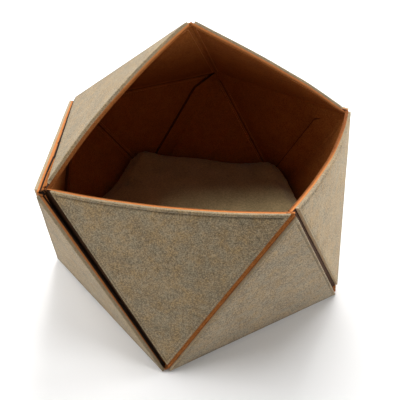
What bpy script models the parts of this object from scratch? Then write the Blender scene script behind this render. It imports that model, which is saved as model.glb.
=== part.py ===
"""Felt cat cave: a folded form of thirteen triangular felt panels on a five-cornered floor.

The outer felt panels are stitched on one inner felt, cut as a net. The inner felt runs on
through every fold, and at seven open seams it carries a tab that lies inside the next panel.
The form is a regular twenty-sided solid that stands on a ring of five corners: two of its
roof panels are left out, which makes the mouth. A filled cushion lies on the floor.

Frame: origin at the middle of the underside, +Z up, the mouth and the front towards -Y.
"""

import math

import bmesh
import bpy
from mathutils import Matrix, Vector

# Driving dimensions, in metres
EDGE = 0.290  # side of a panel, from fold to fold
OUTER_FELT = 0.0030  # thickness of the outer panels
INNER_FELT = 0.0045  # thickness of the inner net
LAYER_GAP = 0.0005  # between the outer panels and the inner felt, and at the tabs
FOLD_INSET = 0.0048  # outer panel's edge, back from a fold
HOST_INSET = 0.0025  # both layers' cut edge where a panel has a tab behind it
OWNER_INSET = 0.0085  # outer panel's edge where its inner felt turns into a tab
RIM_INSET = 0.0015  # both layers' cut edge at the mouth
SKIRT_INSET = 0.0015  # wall panel's lower edge, back from the floor fold
FLOOR_INSET = 0.0050  # floor panel's edge, back from the floor fold
TAB_WIDTH = 0.033
TAB_START = 0.003  # from the cut corner to the tab, along the bend
RELIEF = 0.008  # the inner felt's corners are cut off this far along their edges
TIP_RELIEF = 0.010  # and its lower tips this far
TUCK = 0.005  # a loose corner that is pushed in under its neighbours
LIFT = -0.003  # a loose corner that stands proud over two tabs
RIM_CUT = 0.0045  # how hollow the mouth's edges are cut
BOW_FACETS = 8  # along each side of a bowed panel
TIP_HEIGHT = 0.0090  # an upper panel's lower tip is cut off level here, above the floor's felt

CUSHION_FRONT = 0.046  # height of the cushion's top edge at the front
CUSHION_BACK = 0.058  # and at the back
CUSHION_CROWN = 0.006  # how far its middle stands above a flat top
CUSHION_CLEAR = 0.0022  # from the felt beside it
CUSHION_WAIST = 0.006  # how far its sides draw in at the top seam and at the floor
CUSHION_POINTS = 60  # round its outline
CORNER_SHARPNESS = 9.0  # of its rounded corners

# Upper ring, lower ring and peak. Angles in degrees round Z, from +X.
UPPER_RING = {
    "front": -90.0,
    "left": -162.0,
    "back_left": 126.0,
    "back_right": 54.0,
    "right": -18.0,
}
LOWER_RING = {
    "foot_front_left": -126.0,
    "foot_left": 162.0,
    "foot_back": 90.0,
    "foot_right": 18.0,
    "foot_front_right": -54.0,
}
FLOOR_RING = tuple(LOWER_RING)

# Panel, its corners, its loose corner and how far that is pushed in
PANELS = (
    ("front_upper", ("left", "front", "foot_front_left"), "left", TUCK),
    ("front_lower", ("front", "foot_front_left", "foot_front_right"), None, 0.0),
    ("right_front", ("front", "foot_front_right", "right"), "front", TUCK),
    ("left_lower", ("left", "foot_left", "foot_front_left"), None, 0.0),
    ("left_upper", ("left", "back_left", "foot_left"), "back_left", LIFT),
    ("back_left_lower", ("back_left", "foot_left", "foot_back"), None, 0.0),
    ("back_upper", ("back_left", "foot_back", "back_right"), None, 0.0),
    ("back_right_lower", ("back_right", "foot_back", "foot_right"), None, 0.0),
    ("right_upper", ("back_right", "foot_right", "right"), "right", LIFT),
    ("right_lower", ("right", "foot_right", "foot_front_right"), None, 0.0),
    ("roof_left", ("peak", "left", "back_left"), "left", TUCK),
    ("roof_back", ("peak", "back_left", "back_right"), None, 0.0),
    ("roof_right", ("peak", "back_right", "right"), "right", TUCK),
)

# Open seam, panel that owns the tab, panel that hosts it, and the tab's setback at each end
SEAMS = (
    (("left", "foot_front_left"), "front_upper", "left_lower", 0.059, 0.059),
    (("front", "foot_front_right"), "right_front", "front_lower", 0.059, 0.059),
    (("back_left", "foot_left"), "back_left_lower", "left_upper", 0.059, 0.059),
    (("back_right", "foot_back"), "back_right_lower", "back_upper", 0.048, 0.059),
    (("right", "foot_right"), "right_lower", "right_upper", 0.059, 0.059),
    (("back_left", "left"), "roof_left", "left_upper", 0.059, 0.059),
    (("right", "back_right"), "roof_right", "right_upper", 0.059, 0.059),
)

# Mouth edge, its panel, how far the felt bows out there, and how much more at the second end
RIMS = (
    (("left", "front"), "front_upper", 0.0090, 0.0),
    (("front", "right"), "right_front", 0.0055, 0.2),
    (("peak", "left"), "roof_left", 0.0095, 0.0),
    (("peak", "right"), "roof_right", 0.0070, 0.4),
)

# Where the cushion is pushed up: angle in degrees, rise, and width of the curl in degrees
CUSHION_CURLS = (
    (90.0, 0.026, 20.0),
    (18.0, 0.012, 18.0),
    (162.0, 0.004, 18.0),
)

# Side of the cushion: share of its height, and share of the waist by which it draws in there
CUSHION_SIDE = ((0.0, 1.0), (0.16, 0.35), (0.45, 0.0), (0.75, 0.2), (0.93, 0.6), (1.0, 1.3))
CUSHION_TOP = (0.9, 0.75, 0.55, 0.3)  # rings of its top, as shares of its outline

# Colour, roughness and metallic value of each finish
FINISHES = {
    "outer_felt": ((0.27, 0.215, 0.145), 0.95, 0.0),
    "inner_felt": ((0.42, 0.135, 0.045), 0.92, 0.0),
    "cushion_cloth": ((0.19, 0.14, 0.085), 0.95, 0.0),
}

INNER_DEPTH = OUTER_FELT + LAYER_GAP
TAB_DEPTH = INNER_DEPTH + INNER_FELT + LAYER_GAP
FLOOR = "floor"


def corner_places():
    """The eleven corners of the form, by name."""
    radius = EDGE / (2 * math.sin(math.radians(36)))
    band = math.sqrt(EDGE**2 - (2 * radius * math.sin(math.radians(18))) ** 2)
    cap = math.sqrt(EDGE**2 - radius**2)
    places = {"peak": Vector((0, 0, band + cap))}
    for ring, height in ((UPPER_RING, band), (LOWER_RING, 0.0)):
        for name, degrees in ring.items():
            angle = math.radians(degrees)
            places[name] = Vector((radius * math.cos(angle), radius * math.sin(angle), height))
    return places


PLACES = corner_places()
MIDDLE = Vector((0, 0, PLACES["front"].z / 2))


def outward(points):
    normal = (points[1] - points[0]).cross(points[2] - points[0]).normalized()
    return normal if normal.dot(points[0] - MIDDLE) > 0 else -normal


class Panel:
    """A flat panel of the form: its corners in order round it, and its outward normal."""

    def __init__(self, name, corners, loose=None, push=0.0):
        self.name = name
        self.at = {corner: PLACES[corner].copy() for corner in corners}
        if loose:
            self.at[loose] -= outward(list(self.at.values())) * push
        self.normal = outward(list(self.at.values()))
        self.corners = list(corners)
        if self.area_normal().dot(self.normal) < 0:
            self.corners.reverse()

    def area_normal(self):
        a, b, c = (self.at[corner] for corner in self.corners[:3])
        return (b - a).cross(c - a)

    def edges(self):
        return list(zip(self.corners, self.corners[1:] + self.corners[:1]))

    def level(self, depth):
        """The plane at a depth below the panel's face, as normal and distance."""
        first = self.at[self.corners[0]]
        return self.normal, self.normal.dot(first) - depth

    def inward(self, edge):
        """The direction in the panel, square to an edge, towards its middle."""
        a, b = (self.at[corner] for corner in edge)
        across = self.normal.cross(b - a).normalized()
        centre = sum(self.at.values(), Vector()) / len(self.at)
        return across if across.dot(centre - a) > 0 else -across

    def cut(self, edge, inset):
        """The plane square to the panel that cuts it along an edge."""
        across = self.inward(edge)
        return across, across.dot(self.at[edge[0]]) + inset


def build_panels():
    panels = {name: Panel(name, *rest) for name, *rest in PANELS}
    panels[FLOOR] = Panel(FLOOR, FLOOR_RING)
    return panels


BOARD = build_panels()
RIM_OF = {frozenset(edge): (panel, bow, lean) for edge, panel, bow, lean in RIMS}
SEAM_OF = {frozenset(edge): (owner, host) for edge, owner, host, *_ in SEAMS}


def meet(*planes):
    """The point that three planes share."""
    normals = Matrix([normal for normal, _ in planes])
    return normals.inverted() @ Vector([distance for _, distance in planes])


def others_on(edge, panel):
    ends = frozenset(edge)
    return [other for other in BOARD.values() if other is not panel and ends <= set(other.at)]


def is_fold(edge):
    return frozenset(edge) not in RIM_OF and frozenset(edge) not in SEAM_OF


def outer_inset(panel, edge):
    """How far an outer panel's edge lies back from the form's edge."""
    ends = frozenset(edge)
    if ends in RIM_OF:
        return RIM_INSET
    if ends in SEAM_OF:
        return OWNER_INSET if SEAM_OF[ends][0] == panel.name else HOST_INSET
    if panel.name == FLOOR:
        return FLOOR_INSET
    return SKIRT_INSET if ends <= set(FLOOR_RING) else FOLD_INSET


def inner_side(panel, edge):
    """The plane that bounds the inner felt's face along an edge of a panel."""
    ends = frozenset(edge)
    if ends in RIM_OF:
        return panel.cut(edge, RIM_INSET)
    if ends in SEAM_OF:
        owner, host = SEAM_OF[ends]
        return BOARD[host].level(TAB_DEPTH) if owner == panel.name else panel.cut(edge, HOST_INSET)
    return others_on(edge, panel)[0].level(INNER_DEPTH)


def has_tip(panel, corner):
    return corner in FLOOR_RING and len(set(FLOOR_RING) & set(panel.at)) == 1


def inner_end(panel, corner, edge, clear):
    """The end of the inner felt's edge on one panel, cut back from its corner."""
    level = panel.level(INNER_DEPTH)
    point = meet(level, *[inner_side(panel, side) for side in panel.edges() if corner in side])
    along = (PLACES[far_end(edge, corner)] - PLACES[corner]).normalized()
    return meet(level, inner_side(panel, edge), (along, along.dot(point) + clear))


def far_end(edge, corner):
    return edge[1] if edge[0] == corner else edge[0]


def relief(panel, corner):
    """How far the inner felt is cut back at a corner: not beside the floor, which it runs on to."""
    if has_tip(panel, corner):
        return TIP_RELIEF
    hosts = any(panel.name == host and corner in edge for edge, _, host, *_ in SEAMS)
    return RELIEF if hosts or corner not in FLOOR_RING else 0.0


def fold_end(edge, corner):
    """Where two panels of the inner felt stop sharing a fold, near one of its corners."""
    along = PLACES[far_end(edge, corner)] - PLACES[corner]
    pair = [panel for panel in BOARD.values() if frozenset(edge) <= set(panel.at)]
    ends = [inner_end(panel, corner, edge, relief(panel, corner)) for panel in pair]
    return max(ends, key=along.dot)


def tab_root(owner, edge):
    """The two ends of the bend from which a tab springs, in the order of the edge."""
    starts = {corner: max(RELIEF, relief(owner, corner)) + TAB_START for corner in edge}
    return [inner_end(owner, corner, edge, start) for corner, start in starts.items()]


def with_new(points, *more):
    for point in more:
        if not points or (point - points[-1]).length > 1e-6:
            points.append(point)


def inner_outline(panel):
    """The inner felt's face on one panel, with the points that its neighbours share."""
    points = []
    edges = panel.edges()
    for before, after in zip(edges[-1:] + edges[:-1], edges):
        corner = after[0]
        if is_fold(before):
            with_new(points, fold_end(before, corner))
        back = relief(panel, corner)
        with_new(points, *[inner_end(panel, corner, edge, back) for edge in (before, after)])
        if is_fold(after):
            with_new(points, fold_end(after, corner))
        if SEAM_OF.get(frozenset(after), [None])[0] == panel.name:
            with_new(points, *tab_root(panel, after))
    if (points[0] - points[-1]).length < 1e-6:
        points.pop()
    return points


def tab_outline(seam):
    edge, owner, host, setback_first, setback_last = seam
    root_first, root_last = tab_root(BOARD[owner], edge)
    start, end = (BOARD[host].at[corner] for corner in edge)
    along = (end - start).normalized()
    inside = BOARD[host].inward(edge) * TAB_WIDTH - BOARD[host].normal * TAB_DEPTH
    return [
        root_first,
        root_last,
        end - along * setback_last + inside,
        start + along * setback_first + inside,
    ]


def add_face(mesh, points, normal):
    face = mesh.faces.new([mesh.verts.new(point) for point in points])
    face.normal_update()
    if face.normal.dot(normal) < 0:
        face.normal_flip()
    return face


def shares(panel, edge, point):
    """A point's shares in the two ends of a mouth edge: 1 at that end, 0 on the opposite fold."""
    first, last = (panel.at[corner] for corner in edge)
    far = [panel.at[corner] for corner in panel.corners if corner not in edge][0]
    across = panel.inward(edge)
    level = across.dot(point - first) / across.dot(far - first)
    beside = point - first - (far - first) * level
    toward_last = beside.dot(last - first) / (last - first).length_squared
    return 1 - level - toward_last, toward_last


def bulge(first_share, last_share, lean):
    """The bow's height as a share of its greatest: it peaks on the mouth edge, 0 on the folds."""
    return 4 * first_share * last_share * (1 + lean * (last_share - first_share))


def faceted_bulge(first_share, last_share, lean):
    """The bow between the facets' corners, so that both layers of felt have the same facets."""
    column = math.floor(first_share * BOW_FACETS)
    row = math.floor(last_share * BOW_FACETS)
    along = first_share * BOW_FACETS - column
    up = last_share * BOW_FACETS - row
    right, above = (column + 1, row), (column, row + 1)
    if along + up > 1:
        parts = ((right, 1 - up), (above, 1 - along), ((column + 1, row + 1), along + up - 1))
    else:
        parts = ((right, along), (above, up), ((column, row), 1 - along - up))
    return sum(bulge(a / BOW_FACETS, b / BOW_FACETS, lean) * part for (a, b), part in parts)


def cut_facets(mesh, faces, panel):
    """Cuts a panel's sheet into small triangles, along lines parallel to its three edges."""
    for edge in panel.edges():
        across = panel.inward(edge)
        start = panel.at[edge[0]]
        depth = across.dot(sum(panel.at.values(), Vector()) - start * 3)
        for step in range(1, BOW_FACETS):
            geometry = set(faces)
            geometry |= {e for face in faces for e in face.edges}
            geometry |= {v for face in faces for v in face.verts}
            cut = bmesh.ops.bisect_plane(
                mesh,
                geom=list(geometry),
                dist=1e-5,
                plane_co=start + across * (depth * step / BOW_FACETS),
                plane_no=across,
            )
            faces = [item for item in cut["geom"] if isinstance(item, bmesh.types.BMFace)]
    return faces


def bow_out(mesh, faces, rim):
    """Bows the felt out along its mouth edge and cuts that edge hollow, dying away inside."""
    edge, name, height, lean = rim
    panel = BOARD[name]
    across = panel.inward(edge)
    faces = cut_facets(mesh, faces, panel)
    for vert in {v for face in faces for v in face.verts}:
        share = max(0.0, faceted_bulge(*shares(panel, edge, vert.co), lean))
        vert.co += panel.normal * (height * share) + across * (RIM_CUT * share)


def rims_on(panel):
    return [rim for rim in RIMS if rim[1] == panel.name]


def material(name):
    colour, roughness, metallic = FINISHES[name]
    made = bpy.data.materials.get(name) or bpy.data.materials.new(name)
    made.use_nodes = True
    shader = made.node_tree.nodes["Principled BSDF"]
    shader.inputs["Base Color"].default_value = (*colour, 1.0)
    shader.inputs["Roughness"].default_value = roughness
    shader.inputs["Metallic"].default_value = metallic
    return made


def add_object(name, mesh, finish):
    bmesh.ops.recalc_face_normals(mesh, faces=mesh.faces)
    data = bpy.data.meshes.new(name)
    mesh.to_mesh(data)
    mesh.free()
    data.materials.append(material(finish))
    made = bpy.data.objects.new(name, data)
    bpy.context.scene.collection.objects.link(made)
    return made


def cut_tip(mesh):
    everything = mesh.verts[:] + mesh.edges[:] + mesh.faces[:]
    bmesh.ops.bisect_plane(
        mesh,
        geom=everything,
        dist=1e-6,
        plane_co=(0, 0, TIP_HEIGHT),
        plane_no=(0, 0, -1),
        clear_outer=True,
    )


def make_outer_panel(panel):
    """One outer felt panel: a flat or bowed sheet, cut square to its face."""
    mesh = bmesh.new()
    top = panel.level(0.0)
    sides = {edge: panel.cut(edge, outer_inset(panel, edge)) for edge in panel.edges()}
    outline = [
        meet(top, *[side for edge, side in sides.items() if corner in edge])
        for corner in panel.corners
    ]
    faces = [add_face(mesh, outline, panel.normal)]
    if any(has_tip(panel, corner) for corner in panel.corners):
        cut_tip(mesh)
        faces = mesh.faces[:]
    for rim in rims_on(panel):
        bow_out(mesh, faces, rim)
    under = bmesh.ops.extrude_face_region(mesh, geom=mesh.faces[:])
    moved = [item for item in under["geom"] if isinstance(item, bmesh.types.BMVert)]
    bmesh.ops.translate(mesh, verts=moved, vec=-panel.normal * OUTER_FELT)
    return add_object(f"panel_{panel.name}", mesh, "outer_felt")


def make_inner_felt():
    """The inner net: every panel, the floor and the seven tabs in one folded sheet."""
    mesh = bmesh.new()
    for panel in BOARD.values():
        add_face(mesh, inner_outline(panel), panel.normal)
    for seam in SEAMS:
        add_face(mesh, tab_outline(seam), BOARD[seam[2]].normal)
    bmesh.ops.remove_doubles(mesh, verts=mesh.verts, dist=1e-5)
    for rim in RIMS:
        facing = BOARD[rim[1]].normal
        bow_out(mesh, [face for face in mesh.faces if face.normal.dot(facing) > 0.9999], rim)
    bmesh.ops.triangulate(mesh, faces=mesh.faces, ngon_method="BEAUTY")
    made = add_object("inner_felt", mesh, "inner_felt")
    shell = made.modifiers.new("thickness", "SOLIDIFY")
    shell.thickness = INNER_FELT
    shell.offset = -1.0
    shell.use_even_offset = True
    shell.use_quality_normals = True
    shell.use_rim = True
    return made


def wall_reach(degrees, height):
    """How far the cushion reaches from the middle in one direction, at one height."""
    direction = Vector((math.cos(math.radians(degrees)), math.sin(math.radians(degrees)), 0))
    hosts = {seam[2] for seam in SEAMS}
    total = 0.0
    for panel in BOARD.values():
        facing = panel.normal.dot(direction)
        if panel.name == FLOOR or panel.name.startswith("roof") or facing <= 0.05:
            continue
        depth = TAB_DEPTH + INNER_FELT if panel.name in hosts else INNER_DEPTH + INNER_FELT
        normal, distance = panel.level(depth + CUSHION_CLEAR)
        reach = (distance - normal.z * height) / facing
        total += (EDGE / reach) ** CORNER_SHARPNESS
    return EDGE / total ** (1 / CORNER_SHARPNESS)


def cushion_top(degrees, share):
    """Height of the cushion's top: level at its edge, crowned, and curled up at its corners."""
    angle = math.radians(degrees)
    back = (1 + share * math.sin(angle)) / 2
    height = CUSHION_FRONT + (CUSHION_BACK - CUSHION_FRONT) * back
    height += CUSHION_CROWN * (1 - share**2)
    for at, rise, width in CUSHION_CURLS:
        away = (degrees - at + 180) % 360 - 180
        height += rise * share**4 * math.exp(-((away / width) ** 2))
    return height


def make_cushion():
    """The filled cushion: flat underneath, with a drawn-in seam, bulging sides and a crown."""
    mesh = bmesh.new()
    under = TAB_DEPTH
    turns = [360.0 * step / CUSHION_POINTS for step in range(CUSHION_POINTS)]
    rings = []
    for rise, waist in CUSHION_SIDE:
        ring = []
        for degrees in turns:
            height = under + (cushion_top(degrees, 1.0) - under) * rise
            reach = wall_reach(degrees, height) - CUSHION_WAIST * waist
            angle = math.radians(degrees)
            ring.append(mesh.verts.new((reach * math.cos(angle), reach * math.sin(angle), height)))
        rings.append(ring)
    edge = rings[-1]
    for share in CUSHION_TOP:
        ring = []
        for degrees, vert in zip(turns, edge):
            place = Vector((vert.co.x * share, vert.co.y * share, cushion_top(degrees, share)))
            ring.append(mesh.verts.new(place))
        rings.append(ring)
    for lower, upper in zip(rings, rings[1:]):
        for step in range(CUSHION_POINTS):
            after = (step + 1) % CUSHION_POINTS
            mesh.faces.new((lower[step], lower[after], upper[after], upper[step]))
    middle = mesh.verts.new((0, 0, cushion_top(0, 0.0)))
    centre = mesh.verts.new((0, 0, under))
    for step in range(CUSHION_POINTS):
        after = (step + 1) % CUSHION_POINTS
        mesh.faces.new((rings[-1][step], rings[-1][after], middle))
        mesh.faces.new((rings[0][after], rings[0][step], centre))
    made = add_object("cushion", mesh, "cushion_cloth")
    made.data.shade_smooth()
    return made


def main():
    for old in list(bpy.data.objects):
        bpy.data.objects.remove(old, do_unlink=True)
    for panel in BOARD.values():
        make_outer_panel(panel)
    make_inner_felt()
    make_cushion()


main()
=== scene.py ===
import math

import bmesh
import bpy
from mathutils import Matrix, Vector, noise
from mathutils.geometry import barycentric_transform


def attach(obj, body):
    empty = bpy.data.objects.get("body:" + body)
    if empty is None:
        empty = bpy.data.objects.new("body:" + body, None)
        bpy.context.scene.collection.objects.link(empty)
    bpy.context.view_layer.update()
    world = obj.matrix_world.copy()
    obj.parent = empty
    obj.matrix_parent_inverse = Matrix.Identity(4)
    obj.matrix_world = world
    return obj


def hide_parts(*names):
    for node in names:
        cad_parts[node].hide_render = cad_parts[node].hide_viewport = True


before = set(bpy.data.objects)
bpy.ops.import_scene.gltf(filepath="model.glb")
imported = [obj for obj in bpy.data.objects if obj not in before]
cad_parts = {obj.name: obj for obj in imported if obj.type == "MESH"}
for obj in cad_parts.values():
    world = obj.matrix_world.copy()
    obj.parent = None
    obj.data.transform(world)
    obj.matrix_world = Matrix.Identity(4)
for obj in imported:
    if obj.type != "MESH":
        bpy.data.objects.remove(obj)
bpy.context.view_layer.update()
scene = bpy.context.scene
print("frame loaded:", len(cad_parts), "nodes")

# the form, in metres: these repeat the cut sizes of the felts
form = {
    "edge": 0.290,  # side of a panel, fold to fold
    "outerFelt": 0.0030,
    "innerFelt": 0.0045,
    "layerGap": 0.0005,
    "foldInset": 0.0053,  # outer panel's edge, back from a fold
    "hostInset": 0.0025,  # both layers, where a tab lies behind
    "ownerInset": 0.0108,  # outer panel, where its inner felt becomes a tab
    "rimInset": 0.0015,
    "skirtInset": 0.0015,
    "floorInset": 0.0050,
    "tabWidth": 0.033,
    "tipHeight": 0.0090,  # an outer panel's foot is cut off flat here
}
form["innerDepth"] = form["outerFelt"] + form["layerGap"]
form["innerBottom"] = form["innerDepth"] + form["innerFelt"]
form["tabDepth"] = form["innerBottom"] + form["layerGap"]
tuck = 0.005  # how far a loose corner is pushed in
lift = -0.003  # or stands out
samePlace = 1e-6  # points this near each other are one
weld = 1e-5

upperRing = {"front": -90, "left": -162, "backLeft": 126, "backRight": 54, "right": -18}
lowerRing = {
    "footFrontLeft": -126,
    "footLeft": 162,
    "footBack": 90,
    "footRight": 18,
    "footFrontRight": -54,
}

# panel: CAD node, corners, loose corner, how far that is pushed in
panelTable = {
    "frontUpper": ("panel_front_upper", ("left", "front", "footFrontLeft"), "left", tuck),
    "frontLower": ("panel_front_lower", ("front", "footFrontLeft", "footFrontRight"), None, 0),
    "rightFront": ("panel_right_front", ("front", "footFrontRight", "right"), "front", tuck),
    "leftLower": ("panel_left_lower", ("left", "footLeft", "footFrontLeft"), None, 0),
    "leftUpper": ("panel_left_upper", ("left", "backLeft", "footLeft"), "backLeft", lift),
    "backLeftLower": ("panel_back_left_lower", ("backLeft", "footLeft", "footBack"), None, 0),
    "backUpper": ("panel_back_upper", ("backLeft", "footBack", "backRight"), None, 0),
    "backRightLower": ("panel_back_right_lower", ("backRight", "footBack", "footRight"), None, 0),
    "rightUpper": ("panel_right_upper", ("backRight", "footRight", "right"), "right", lift),
    "rightLower": ("panel_right_lower", ("right", "footRight", "footFrontRight"), None, 0),
    "roofLeft": ("panel_roof_left", ("peak", "left", "backLeft"), "left", tuck),
    "roofBack": ("panel_roof_back", ("peak", "backLeft", "backRight"), None, 0),
    "roofRight": ("panel_roof_right", ("peak", "backRight", "right"), "right", tuck),
    "floor": ("panel_floor", tuple(lowerRing), None, 0),
}

# open seam: panel that owns the tab, panel over it, the tab's setback at each end
seamTable = {
    ("left", "footFrontLeft"): ("frontUpper", "leftLower", 0.059, 0.059),
    ("front", "footFrontRight"): ("rightFront", "frontLower", 0.059, 0.059),
    ("backLeft", "footLeft"): ("backLeftLower", "leftUpper", 0.059, 0.059),
    ("backRight", "footBack"): ("backRightLower", "backUpper", 0.048, 0.059),
    ("right", "footRight"): ("rightLower", "rightUpper", 0.059, 0.059),
    ("backLeft", "left"): ("roofLeft", "leftUpper", 0.059, 0.059),
    ("right", "backRight"): ("roofRight", "rightUpper", 0.059, 0.059),
}

# mouth edge: its panel, how far it bows out, how much more at the second end, how hollow it is
rimTable = {
    ("left", "front"): ("frontUpper", 0.0090, 0.0, 0.0045),
    ("front", "right"): ("rightFront", 0.0080, 0.15, 0.0090),
    ("peak", "left"): ("roofLeft", 0.0095, 0.0, 0.0045),
    ("peak", "right"): ("roofRight", 0.0070, 0.4, 0.0045),
}


def cornerPlaces():
    # the corners of the even twenty-sided form, without its lowest one
    edge = form["edge"]
    radius = edge / (2 * math.sin(math.radians(36)))
    band = math.sqrt(edge**2 - (2 * radius * math.sin(math.radians(18))) ** 2)
    places = {"peak": Vector((0, 0, band + math.sqrt(edge**2 - radius**2)))}
    for ring, height in ((upperRing, band), (lowerRing, 0)):
        for name, degrees in ring.items():
            turn = math.radians(degrees)
            places[name] = Vector((radius * math.cos(turn), radius * math.sin(turn), height))
    return places


places = cornerPlaces()
formMiddle = Vector((0, 0, places["front"].z / 2))


class Panel:
    # one flat panel: its corners in order seen from outside, and its outward normal
    def __init__(self, name, node, corners, loose, push):
        self.name = name
        self.node = node
        self.at = {corner: places[corner].copy() for corner in corners}
        if loose:
            self.at[loose] -= self.facing() * push
        self.normal = self.facing()
        self.corners = list(corners)
        a, b, c = (self.at[corner] for corner in self.corners[:3])
        if (b - a).cross(c - a).dot(self.normal) < 0:
            self.corners.reverse()
        self.centre = sum(self.at.values(), Vector()) / len(self.at)

    def facing(self):
        a, b, c = list(self.at.values())[:3]
        normal = (b - a).cross(c - a).normalized()
        return normal if normal.dot(a - formMiddle) > 0 else -normal

    def edges(self):
        return list(zip(self.corners, self.corners[1:] + self.corners[:1]))

    def level(self, depth):
        return self.normal, self.normal.dot(self.at[self.corners[0]]) - depth

    def inward(self, edge):
        a, b = (self.at[corner] for corner in edge)
        across = self.normal.cross(b - a).normalized()
        return across if across.dot(self.centre - a) > 0 else -across

    def cut(self, edge, inset):
        across = self.inward(edge)
        return across, across.dot(self.at[edge[0]]) + inset


panels = {name: Panel(name, *row) for name, row in panelTable.items()}
rimOf = {frozenset(edge): row for edge, row in rimTable.items()}
seamOf = {frozenset(edge): row for edge, row in seamTable.items()}


def meet(*planes):
    # the point where three planes meet
    normals = Matrix([normal for normal, _ in planes])
    return normals.inverted() @ Vector([distance for _, distance in planes])


def edgeKind(panel, edge):
    ends = frozenset(edge)
    if ends in rimOf:
        return "rim"
    if ends in seamOf:
        return "owner" if seamOf[ends][0] == panel.name else "host"
    if panel.name == "floor":
        return "floor"
    return "skirt" if ends <= set(lowerRing) else "fold"


def hasTip(panel, corner):
    # whether the panel stands on this corner alone
    return corner in lowerRing and len(set(lowerRing) & set(panel.at)) == 1


def shares(panel, edge, point):
    # a point's shares in the two ends of a mouth edge
    first, last = (panel.at[corner] for corner in edge)
    far = [panel.at[corner] for corner in panel.corners if corner not in edge][0]
    across = panel.inward(edge)
    level = across.dot(point - first) / across.dot(far - first)
    beside = point - first - (far - first) * level
    towardLast = beside.dot(last - first) / (last - first).length_squared
    return 1 - level - towardLast, towardLast


# how far corners of the felt have settled from the even form, and panels that stand off there
settled = {"peak": (0, 0, -0.0042), "backLeft": (0, 0, -0.0048), "footLeft": (-0.005, 0.008, 0.003)}
standsOff = {
    ("leftLower", "left"): (-0.0050, -0.0005, 0),
    ("leftUpper", "left"): (-0.0050, -0.0005, 0),
}

feltRelief = {
    "wave": 0.0004,  # slow unevenness of every panel
    "waveSize": 0.055,
    "rimWave": 0.0007,  # unevenness along the mouth's edges
    "rimWaveSize": 0.07,
}


def settledAt(panel, point):
    # a point of a panel, moved along with the panel's corners
    moves = {
        corner: Vector(standsOff.get((panel.name, corner), settled.get(corner, (0, 0, 0))))
        for corner in panel.corners
    }
    if len(panel.corners) == 3:
        before = [panel.at[corner] for corner in panel.corners]
        after = [place + moves[corner] for corner, place in zip(panel.corners, before)]
        return barycentric_transform(point, *before, *after)
    moved = point.copy()
    for corner, move in moves.items():
        moved += move * max(0.0, 1 - (point - panel.at[corner]).length / form["edge"])
    return moved


def bowed(panel, point):
    # where a point of a panel goes: bowed out at the mouth, hollow there, and a little uneven
    moved = point.copy()
    for edge, (name, height, lean, hollow) in rimTable.items():
        if name != panel.name:
            continue
        first, last = shares(panel, edge, point)
        share = max(0.0, 4 * first * last * (1 + lean * (last - first)))
        wave = noise.noise(point / feltRelief["rimWaveSize"]) * feltRelief["rimWave"] * share
        moved += panel.normal * (height * share + wave)
        moved += panel.inward(edge) * (hollow * share)
    return settledAt(panel, moved)


# shader maths
class Wire:
    # a node's output: + - and * on it add Math nodes, node() adds any other node
    def __init__(self, tree, socket=None):
        self.tree = tree
        self.socket = socket

    def node(self, kind, settings=None, inputs=None, output=0):
        made = self.tree.nodes.new(kind)
        for name, value in (settings or {}).items():
            setattr(made, name, value)
        for name, value in (inputs or {}).items():
            if isinstance(value, Wire):
                self.tree.links.new(value.socket, made.inputs[name])
            else:
                made.inputs[name].default_value = value
        return Wire(self.tree, made.outputs[output])

    def maths(self, operation, first, second=0.0):
        return self.node("ShaderNodeMath", {"operation": operation}, {0: first, 1: second})

    def mix(self, factor, first, second, way="MIX"):
        settings = {"data_type": "RGBA", "blend_type": way}
        return self.node("ShaderNodeMix", settings, {0: factor, 6: first, 7: second}, output=2)

    def tint(self, factor, first, second):
        return self.mix(factor, first, second, "MULTIPLY")

    def smooth(self, low, high):
        return self.node(
            "ShaderNodeMapRange",
            {"interpolation_type": "SMOOTHSTEP"},
            {"Value": self, "From Min": low, "From Max": high},
        )

    def sine(self):
        return self.node("ShaderNodeMath", {"operation": "SINE"}, {0: self})

    def noise(self, place, scale, detail, roughness=0.5, distortion=0.0):
        inputs = {"Vector": place, "Scale": scale, "Detail": detail}
        inputs.update({"Roughness": roughness, "Distortion": distortion})
        return self.node("ShaderNodeTexNoise", {}, inputs)

    def attribute(self, name):
        return self.node("ShaderNodeAttribute", {"attribute_name": name}, output=2)

    def __add__(self, other):
        return self.maths("ADD", self, other)

    def __radd__(self, other):
        return self.maths("ADD", other, self)

    def __sub__(self, other):
        return self.maths("SUBTRACT", self, other)

    def __rsub__(self, other):
        return self.maths("SUBTRACT", other, self)

    def __mul__(self, other):
        return self.maths("MULTIPLY", self, other)

    def __rmul__(self, other):
        return self.maths("MULTIPLY", other, self)


def startMaterial(name):
    made = bpy.data.materials.new(name)
    made.use_nodes = True
    made.node_tree.nodes.clear()
    return made, Wire(made.node_tree)


def finishMaterial(made, shader):
    output = made.node_tree.nodes.new("ShaderNodeOutputMaterial")
    made.node_tree.links.new(shader.socket, output.inputs["Surface"])
    return made


def blend(layers, shares):
    first, *more = [layers[name] * share for name, share in shares.items()]
    return sum(more, first)


def clothShader(wire, look, colour, roughness, height):
    strength, distance = look["bump"]
    bump = wire.node(
        "ShaderNodeBump", {}, {"Height": height, "Strength": strength, "Distance": distance}
    )
    return wire.node(
        "ShaderNodeBsdfPrincipled",
        {},
        {
            "Base Color": colour,
            "Roughness": roughness,
            "Normal": bump,
            "Specular IOR Level": 0.2,
            "Sheen Weight": look["sheen"],
            "Sheen Roughness": 0.5,
        },
    )


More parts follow.
